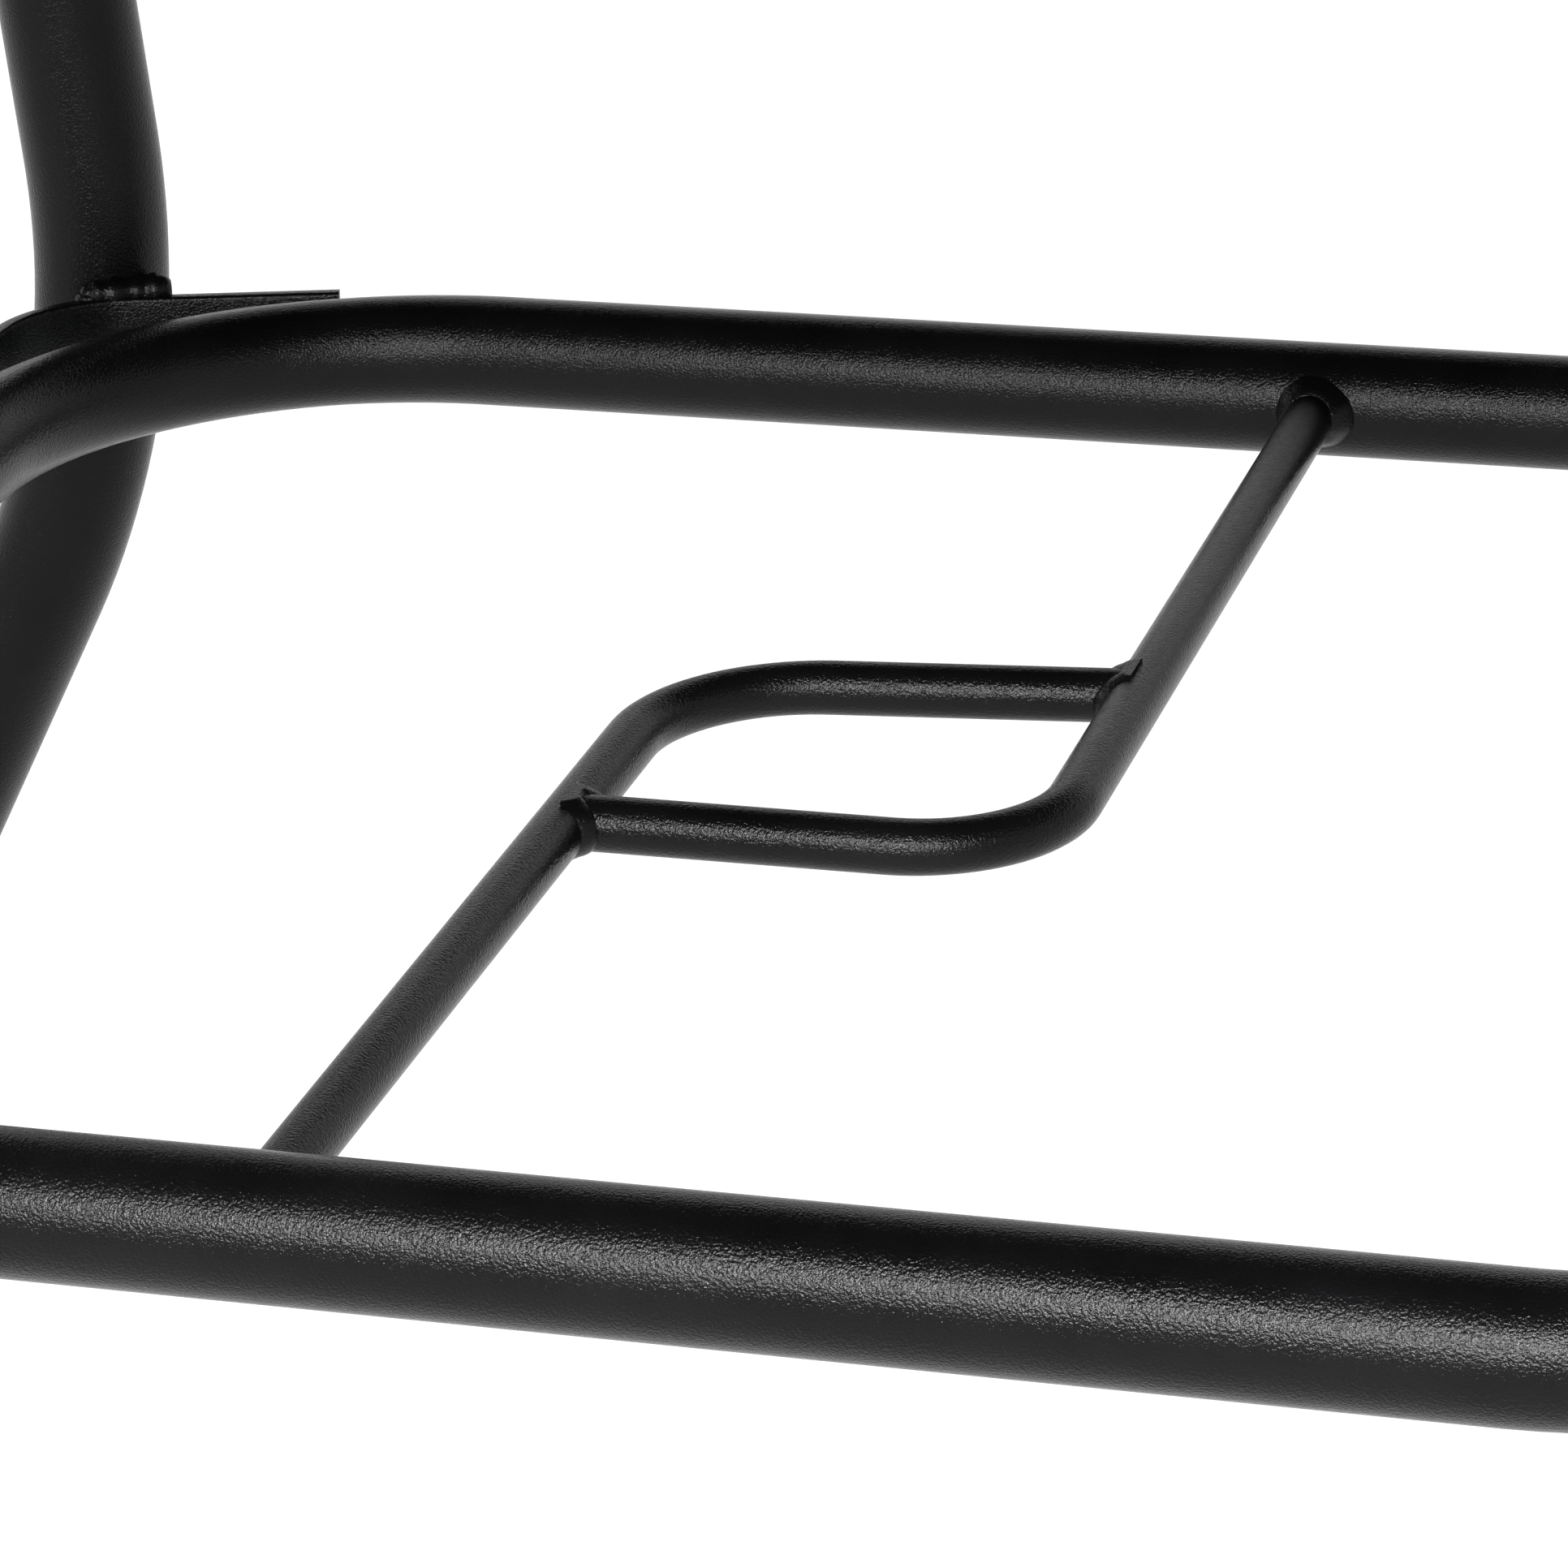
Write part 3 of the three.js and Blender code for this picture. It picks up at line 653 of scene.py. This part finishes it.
def rivet(name, x, z, y0, y1, size, body, replaced, turn=SAME):
    """A domed rivet along Y, with a dished closing head."""
    radius, head_r, head_thick = size
    profile = [(0, y0 - head_thick * 0.72), (head_r * 0.22, y0 - head_thick * 0.8)]
    for i in range(9):
        angle = math.radians(70 - 70 * i / 8)
        profile.append((head_r * math.cos(angle), y0 - head_thick * math.sin(angle)))
    profile += [(head_r, y0), (radius, y0), (radius, y1), (head_r, y1)]
    for i in range(9):
        angle = math.radians(80 * i / 8)
        profile.append((head_r * math.cos(angle), y1 + head_thick * math.sin(angle)))
    profile.append((0, y1 + head_thick))
    verts, faces = turned(profile, 36)
    lay = Matrix.Translation((x, 0, z)) @ Matrix.Rotation(-math.pi / 2, 4, "X")
    add_piece(name, placed(verts, lay), faces, ZINC, body, replaced, turn)


def pivot_pin(end, side, turn):
    inner, outer = LUG_INNER_Y - 0.3, LEAF_RAIL_Y + RAIL_R + 0.3
    y0, y1 = (inner, outer) if side > 0 else (-outer, -inner)
    name = f"{end}_{side_name(end, side)}_pivot_pin"
    rivet(f"{name}_rivet", PIVOT_X, TOP_Z, y0, y1, PIVOT_PIN, f"{end}_frame", [name], turn)


def lug_weld(end, side, turn):
    """Beads along both faces of a lug where it meets the top rail."""
    parts = []
    for y in (LUG_INNER_Y, LUG_OUTER_Y):
        points = []
        for i in range(28):
            angle = math.radians(180 + 44 - 88 * i / 27)
            reach = LEG_R + 0.5
            points.append(Vector((TOP_RAIL_X + reach * math.cos(angle), side * y,
                                  TOP_Z + reach * math.sin(angle))))
        parts.append(bead_on(points, 1.5, int(y), sides=12))
    verts, faces = joined(parts)
    place = side_name(end, side)
    add_piece(f"{end}_{place}_lug_weld", verts, faces, COAT, f"{end}_frame", (), turn)


def end_frame(end, turn):
    end_tube(end, turn)
    cradle(end, turn)
    leg_welds(end, turn)
    for side in (-1, 1):
        foot(end, side, turn)
        pivot_pin(end, side, turn)
        lug_weld(end, side, turn)


# ---------------------------------------------------------------- top leaves

def leaf_tube(end, turn):
    path = rounded([
        ((LEAF_END_X, -LEAF_RAIL_Y, TOP_Z),),
        ((LEAF_BUTT_X, -LEAF_RAIL_Y, TOP_Z), LEAF_CORNER_R, 24),
        ((LEAF_BUTT_X, LEAF_RAIL_Y, TOP_Z), LEAF_CORNER_R, 24),
        ((LEAF_END_X, LEAF_RAIL_Y, TOP_Z),),
    ])
    verts, faces = rings(path, circle(RAIL_R, 52), 0.02)
    add_piece(f"{end}_leaf_rail", verts, faces, COAT, f"{end}_leaf", [f"{end}_leaf_tube"], turn)


def end_plug(end, side, turn):
    edge = RAIL_R - 0.2
    profile = [(0, 0.05), (edge - 0.2, 0.05), (edge, 0.3), (edge, 0.9), (edge - 0.25, 1.35),
               (edge - 0.9, 1.65), (edge - 3.0, 1.75), (0, 1.8)]
    verts, faces = turned(profile, 44)
    lay = Matrix.Translation((LEAF_END_X, side * LEAF_RAIL_Y, TOP_Z)) @ Matrix.Rotation(math.pi / 2, 4, "Y")
    name = f"{end}_{side_name(end, side)}_end_plug"
    add_piece(f"{name}_cap", placed(verts, lay), faces, RUBBER, f"{end}_leaf", [name], turn)


WEB_THICK = 1.9
WEB_WRAP_R = RAIL_R + 0.2 + WEB_THICK / 2
WEB_TOP = TOP_Z + WEB_WRAP_R
WEB_TAIL_Z = WEB_TOP - WEB_THICK - 0.1
WEB_MEET_Y = LEAF_RAIL_Y - 45.0
WEB_TAIL_END_Y = LEAF_RAIL_Y - 72.0
WEB_SAG = 1.6


def sag(y):
    """How far the webbing hangs below the rails' tops."""
    return WEB_SAG * max(0.0, 1 - (y / (LEAF_RAIL_Y - 4)) ** 2)


def webbing_path():
    """From one sewn tail, round a rail, across, round the other rail and back to its tail."""
    drop = TOP_Z - WEB_TAIL_Z
    reach = math.hypot(LEAF_RAIL_Y - WEB_MEET_Y, drop)
    slope = math.atan2(drop, LEAF_RAIL_Y - WEB_MEET_Y) - math.asin(WEB_WRAP_R / reach)
    leave = slope - math.pi / 2
    steps = 34
    wrap = []
    for i in range(steps + 1):
        angle = leave + (math.pi / 2 - leave) * i / steps
        wrap.append((LEAF_RAIL_Y + WEB_WRAP_R * math.cos(angle), TOP_Z + WEB_WRAP_R * math.sin(angle)))
    first = wrap[0]
    slant = [(WEB_MEET_Y + (first[0] - WEB_MEET_Y) * i / 8,
              WEB_TAIL_Z + (first[1] - WEB_TAIL_Z) * i / 8) for i in range(8)]
    tail = [(WEB_TAIL_END_Y + (WEB_MEET_Y - WEB_TAIL_END_Y) * i / 6, WEB_TAIL_Z) for i in range(6)]
    half = tail + slant + wrap
    across = [(LEAF_RAIL_Y * (1 - 2 * i / 40), WEB_TOP) for i in range(1, 40)]
    whole = half + across + [(-y, z) for y, z in reversed(half)]
    return [(y, z - sag(y)) for y, z in whole]


def webbing(end, which, centre, turn):
    """A woven band with ribs along it and thicker selvedges."""
    path = webbing_path()
    ribs = 20
    per_rib = 3
    count = ribs * per_rib
    outline = []
    for side in (1, -1):
        for i in range(count + 1):
            across = (i / count - 0.5) * (WEB_WIDTH - WEB_THICK) * side
            edge = 1.0 if min(i, count - i) > 2 else 0.8
            rib = 0.09 * math.cos(2 * math.pi * i / per_rib)
            outline.append((across, side * (WEB_THICK / 2 * edge - 0.12 + rib)))
    verts = []
    for i, (y, z) in enumerate(path):
        before, after = path[max(0, i - 1)], path[min(len(path) - 1, i + 1)]
        along = Vector((0, after[0] - before[0], after[1] - before[1])).normalized()
        normal = Vector((1, 0, 0)).cross(along)
        verts += [Vector((centre + a, y, z)) + normal * b for a, b in outline]
    band = add_piece(f"{end}_{which}_band", verts, skin(len(path), len(outline)), WEBBING, f"{end}_leaf",
                     [f"{end}_{which}_webbing"], turn)
    seams = stitching(end, which, centre, turn)


def stitch_line(start, end, spacing=3.4):
    """Stitches as (middle, direction) from start to end."""
    start, end = Vector(start), Vector(end)
    length = (end - start).length
    count = max(1, int(length / spacing))
    direction = (end - start).normalized()
    return [(start.lerp(end, (i + 0.5) / count), direction) for i in range(count)]


def stitching(end, which, centre, turn):
    """A sewn box with a cross over each tail."""
    half = WEB_WIDTH / 2 - 6
    near, far = WEB_TAIL_END_Y + 3, WEB_MEET_Y - 3
    parts = []
    for side in (-1, 1):
        box = [(centre - half, side * near, 0), (centre + half, side * near, 0),
               (centre + half, side * far, 0), (centre - half, side * far, 0)]
        lines = [(box[i], box[(i + 1) % 4]) for i in range(4)] + [(box[0], box[2]), (box[1], box[3])]
        for start, stop in lines:
            for middle, direction in stitch_line(start, stop):
                middle.z = WEB_TOP - sag(middle.y) + WEB_THICK / 2 - 0.05
                parts.append(stitch(middle, direction))
    verts, faces = joined(parts)
    return add_piece(f"{end}_{which}_stitching", verts, faces, THREAD, f"{end}_leaf", (), turn)


def stitch(middle, direction, length=2.5, radius=0.32):
    """One raised stitch: a short spindle that dips at both ends."""
    side = direction.cross(UP).normalized()
    verts = []
    sides, steps = 6, 5
    for i in range(steps):
        t = i / (steps - 1) * 2 - 1
        size = radius * math.sqrt(max(0.08, 1 - t * t))
        at = middle + direction * t * length / 2 - UP * 0.3 * t * t
        for j in range(sides):
            angle = 2 * math.pi * j / sides
            verts.append(at + (side * math.cos(angle) + UP * math.sin(angle)) * size)
    return verts, skin(steps, sides)


def knuckle_weld(end, y0, y1, turn):
    """A bead along the outer edge of a hinge plate, under the crossbar."""
    z = TOP_Z - 8.2
    x = LEAF_BUTT_X + 4.6
    inset = 0.8
    verts, faces = rounded_run((x, y0 + inset, z), (x, y1 - inset, z), 1.5, int(y0))
    place = side_name(end, 1 if y0 > 0 else -1)
    add_piece(f"{end}_{place}_knuckle_weld", verts, faces, COAT, f"{end}_leaf", (), turn)


def leaf(end, turn):
    leaf_tube(end, turn)
    for side in (-1, 1):
        end_plug(end, side, turn)
    for y0, y1 in KNUCKLE_SPANS:
        knuckle_weld(end, y0, y1, turn)
    for which, centre in zip(("inner", "outer"), WEB_CENTRES):
        webbing(end, which, centre, turn)


def mid_pins():
    for place, y in (("front", -MID_PIN_Y), ("back", MID_PIN_Y)):
        name = f"mid_pin_{place}"
        rivet(f"{name}_rivet", 0, MID_PIVOT_Z, y - MID_PIN_HALF_LENGTH, y + MID_PIN_HALF_LENGTH,
              MID_PIN, "right_leaf", [name])


# ---------------------------------------------------------------- carried-over CAD nodes

def finish_cad_nodes():
    """Plates, bands and knuckles keep their CAD shape, with broken edges and a real finish."""
    for name, piece in frame["nodes"].items():
        if piece.hide_render:
            continue
        finish = ZINC if name.endswith("_knuckle") else COAT
        piece.data.materials.clear()
        piece.data.materials.append(finish)
        weld = piece.modifiers.new("weld", "WELD")
        weld.merge_threshold = 0.00001
        edges = piece.modifiers.new("edges", "BEVEL")
        edges.width = 0.0005
        edges.segments = 2
        edges.limit_method = "ANGLE"
        edges.angle_limit = math.radians(35)
        edges.harden_normals = False


# ---------------------------------------------------------------- stage, light, camera

def stage():
    mesh = bpy.data.meshes.new("floor")
    reach = 12.0
    mesh.from_pydata([(-reach, -reach, 0), (reach, -reach, 0), (reach, reach, 0), (-reach, reach, 0)],
                     [], [(0, 1, 2, 3)])
    floor = bpy.data.objects.new("floor", mesh)
    bpy.context.scene.collection.objects.link(floor)
    made, _, shader = material("pale_floor")
    shader.inputs["Base Color"].default_value = grey(0.12)
    shader.inputs["Roughness"].default_value = 0.9
    shader.inputs["Specular IOR Level"].default_value = 0.1
    shader.inputs["Emission Color"].default_value = grey(1.0)
    shader.inputs["Emission Strength"].default_value = 1.02
    mesh.materials.append(made)


def world():
    """A pale backdrop all round, with dark overhead that the tops of the tubes reflect."""
    made = bpy.data.worlds.new("studio")
    bpy.context.scene.world = made
    made.use_nodes = True
    tree = made.node_tree
    background = tree.nodes["Background"]
    coords = node(tree, "ShaderNodeTexCoord")
    split = node(tree, "ShaderNodeSeparateXYZ")
    tree.links.new(coords.outputs["Generated"], split.inputs["Vector"])
    shade = ramp(tree, split.outputs["Z"], grey(1.2), grey(0.005), 0.34, 0.5)
    tree.links.new(shade.outputs["Color"], background.inputs["Color"])
    background.inputs["Strength"].default_value = 1.0


def softbox(name, at, target, size, power, spread=180):
    light = bpy.data.lights.new(name, "AREA")
    light.shape = "RECTANGLE"
    light.size, light.size_y = size
    light.energy = power
    light.spread = math.radians(spread)
    lamp = bpy.data.objects.new(name, light)
    lamp.location = at
    lamp.rotation_euler = (Vector(target) - Vector(at)).to_track_quat("-Z", "Y").to_euler()
    bpy.context.scene.collection.objects.link(lamp)


def lights():
    softbox("front_strip", (-0.05, -1.08, 0.66), (-0.05, -0.57, 0.15), (1.5, 0.2), 19, 64)
    softbox("left_softbox", (-2.8, 0.6, 1.6), (-0.05, 0.05, 0.2), (0.8, 0.8), 12)


CAMERA_AT = (0.2314, -0.8713, SHELF_Z * MM + 0.3528)


def camera():
    """The reference view: a long lens, near the front, looking down at the left back corner."""
    yaw = math.radians(16.05)
    pitch = math.radians(21.65)
    roll = math.radians(-1.733)
    forward = Vector((-math.sin(yaw) * math.cos(pitch), math.cos(yaw) * math.cos(pitch), -math.sin(pitch)))
    right = Vector((math.cos(yaw), math.sin(yaw), 0))
    up = right.cross(forward)
    right_rolled = right * math.cos(roll) + up * math.sin(roll)
    up_rolled = up * math.cos(roll) - right * math.sin(roll)
    data = bpy.data.cameras.new("camera")
    data.lens = 145.24
    data.sensor_width = 36.0
    data.clip_start = 0.05
    data.clip_end = 60.0
    made = bpy.data.objects.new("camera", data)
    place = Matrix((right_rolled, up_rolled, -forward)).transposed().to_4x4()
    place.translation = Vector(CAMERA_AT)
    made.matrix_world = place
    bpy.context.scene.collection.objects.link(made)
    bpy.context.scene.camera = made


camera()
shelf()
for end_side, turn_by in (("right", SAME), ("left", HALF_TURN)):
    end_frame(end_side, turn_by)
    leaf(end_side, turn_by)
mid_pins()
finish_cad_nodes()
stage()
world()
lights()
bpy.context.scene.view_settings.view_transform = "Standard"
